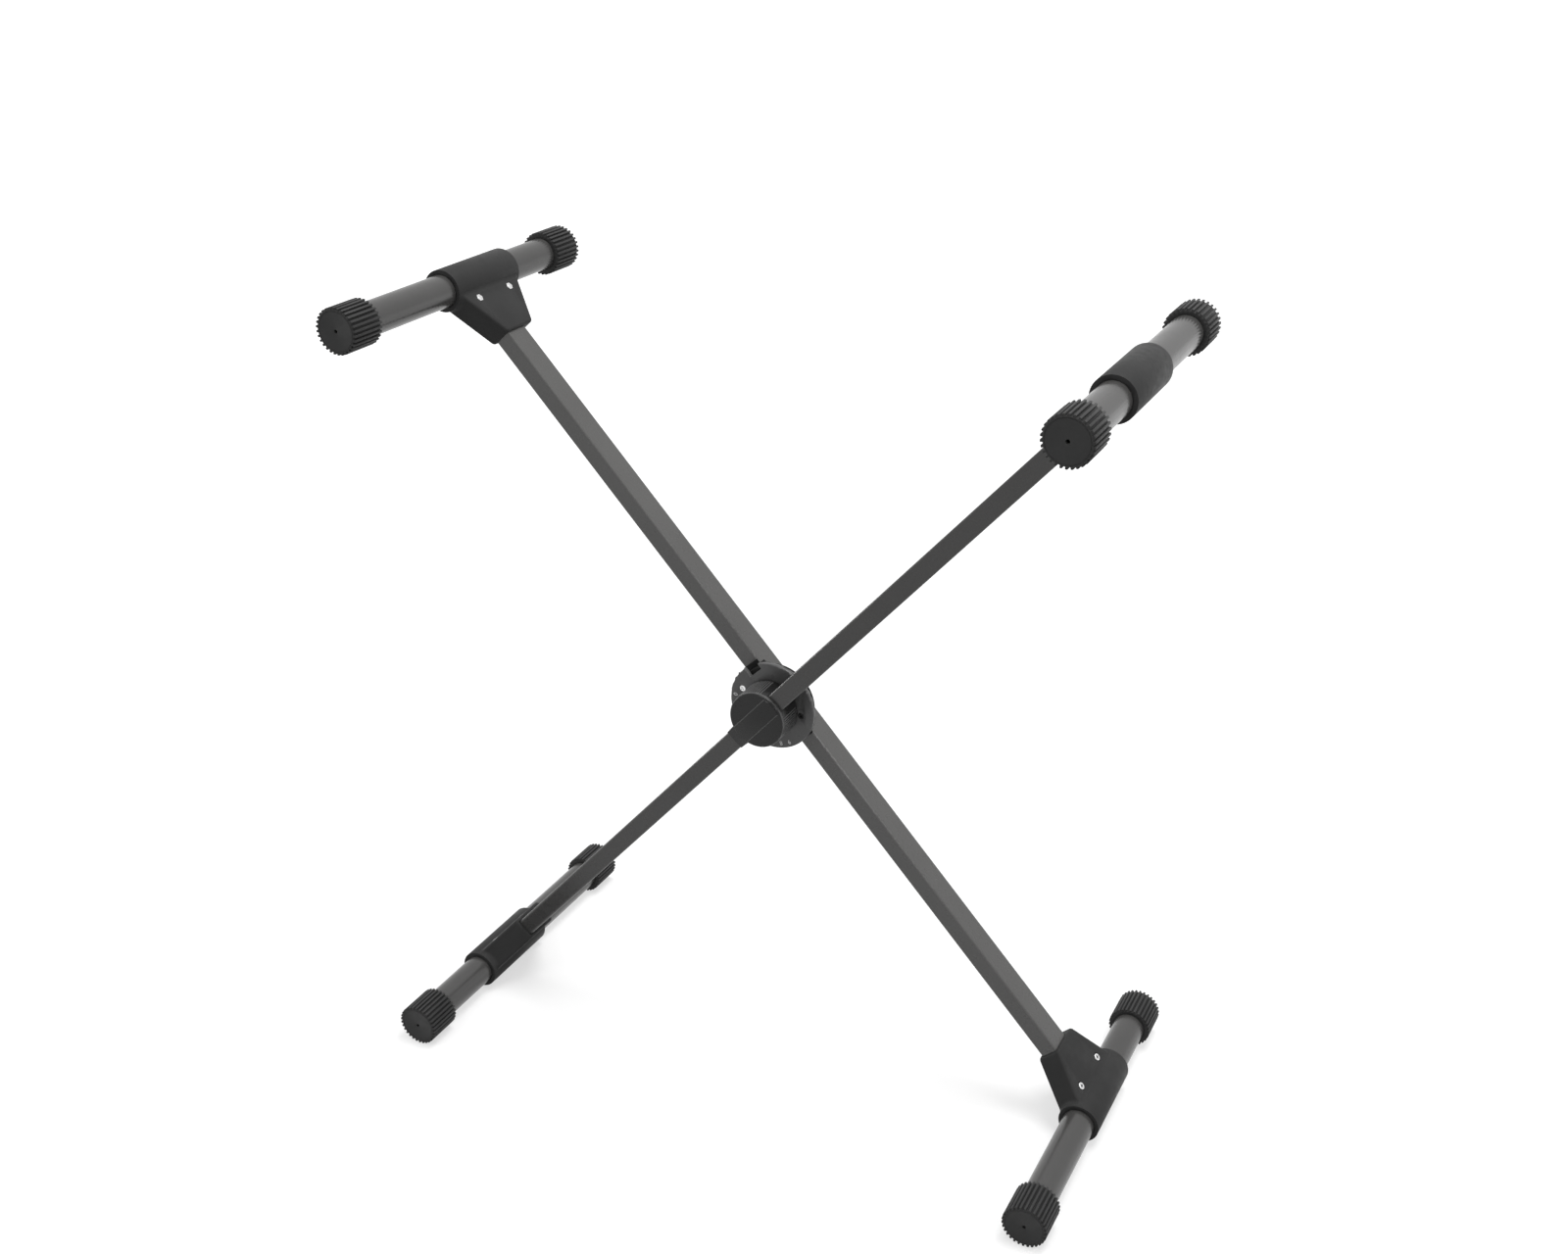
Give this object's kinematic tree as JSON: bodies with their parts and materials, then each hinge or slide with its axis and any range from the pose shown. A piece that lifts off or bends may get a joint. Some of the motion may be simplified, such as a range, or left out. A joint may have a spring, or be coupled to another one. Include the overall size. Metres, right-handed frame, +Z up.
{
  "type": "folding keyboard stand",
  "caption": "Folding X-frame keyboard stand: crossed box-section arms on a clamped pivot disc, with round foot and support tubes in moulded brackets and ribbed end caps.",
  "frame": {"origin": "on the floor, midway between the four feet and under the pivot", "axes": "+Z up, +X to the player's right, +Y away from the player along the pivot axis"},
  "size_m": [0.7666, 0.38, 0.8461],
  "materials": {
    "arm_coat": "satin dark grey powder coat",
    "tube_coat": "satin grey powder coat",
    "black_plastic": "satin moulded",
    "cap_plastic": "matte moulded",
    "disc_plastic": "semi-gloss moulded",
    "zinc_steel": "zinc plated",
    "friction_lining": "fibre lining",
    "nylon": "natural nylon",
    "insert_brass": "turned"
  },
  "bodies": {
    "front_frame": {"front_arm": "arm_coat", "left_foot_bracket": "black_plastic", "left_foot_bracket_screws": "zinc_steel", "left_foot_bracket_nuts": "zinc_steel", "left_foot_tube": "tube_coat", "left_foot_cap_front": "cap_plastic", "left_foot_cap_rear": "cap_plastic", "right_support_bracket": "black_plastic", "right_support_bracket_screws": "zinc_steel", "right_support_bracket_nuts": "zinc_steel", "right_support_tube": "tube_coat", "right_support_cap_front": "cap_plastic", "right_support_cap_rear": "cap_plastic", "front_hub": "black_plastic", "pivot_bolt": "zinc_steel", "front_spacer": "zinc_steel", "friction_washer": "friction_lining"},
    "rear_frame": {"rear_arm": "arm_coat", "right_foot_bracket": "black_plastic", "right_foot_bracket_screws": "zinc_steel", "right_foot_bracket_nuts": "zinc_steel", "right_foot_tube": "tube_coat", "right_foot_cap_front": "cap_plastic", "right_foot_cap_rear": "cap_plastic", "left_support_bracket": "black_plastic", "left_support_bracket_screws": "zinc_steel", "left_support_bracket_nuts": "zinc_steel", "left_support_tube": "tube_coat", "left_support_cap_front": "cap_plastic", "left_support_cap_rear": "cap_plastic", "pivot_disc": "disc_plastic", "disc_screws": "zinc_steel", "rear_saddle": "black_plastic", "rear_spacer": "zinc_steel", "rear_plate": "zinc_steel", "thrust_washer": "nylon"},
    "knob": {"clamp_knob": "black_plastic", "knob_insert": "insert_brass"}
  },
  "joints": [
    {"name": "fold", "type": "hinge", "parent": "front_frame", "child": "rear_frame", "pos_m": [0, 0, 0.42306], "axis": [0, 1, 0], "range_deg": [-26, 78]},
    {"name": "knob_turn", "type": "hinge", "parent": "front_frame", "child": "knob", "pos_m": [0, 0.0465, 0.42306], "axis": [0, 1, 0], "range_deg": [0, 540]}
  ]
}
